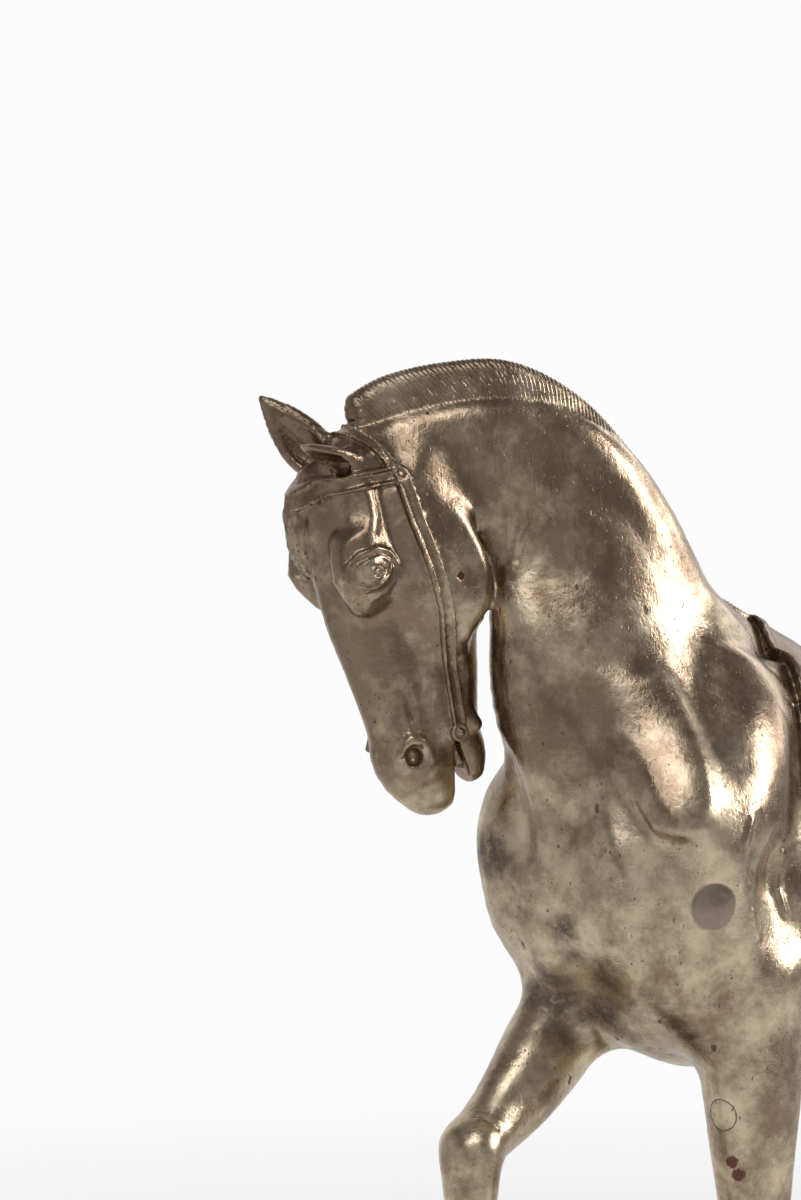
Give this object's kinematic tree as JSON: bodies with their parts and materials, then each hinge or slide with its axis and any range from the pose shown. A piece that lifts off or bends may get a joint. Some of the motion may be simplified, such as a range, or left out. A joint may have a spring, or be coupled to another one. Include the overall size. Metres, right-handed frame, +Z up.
{
  "type": "horse statuette",
  "caption": "Gilt bronze statuette of a walking horse with a raised foreleg, arched neck and turned head, in bridle and saddle cloth, on a low moulded plinth.",
  "frame": {"origin": "centre of the plinth's underside", "axes": "+Z up; -X is the way the horse walks, so its head is towards -X and its tail towards +X; +Y is the horse's right side, to which its head turns"},
  "size_m": [0.3187, 0.107, 0.316],
  "materials": {
    "gilt_bronze": "worn, softly polished gilding over brown bronze, with dark patina in the hollows and fine pits and file marks",
    "plinth_bronze": "worn gilding over brown bronze, duller than the figure, with bright edges"
  },
  "bodies": {
    "root": {"horse": "gilt_bronze", "plinth": "plinth_bronze"}
  },
  "joints": []
}
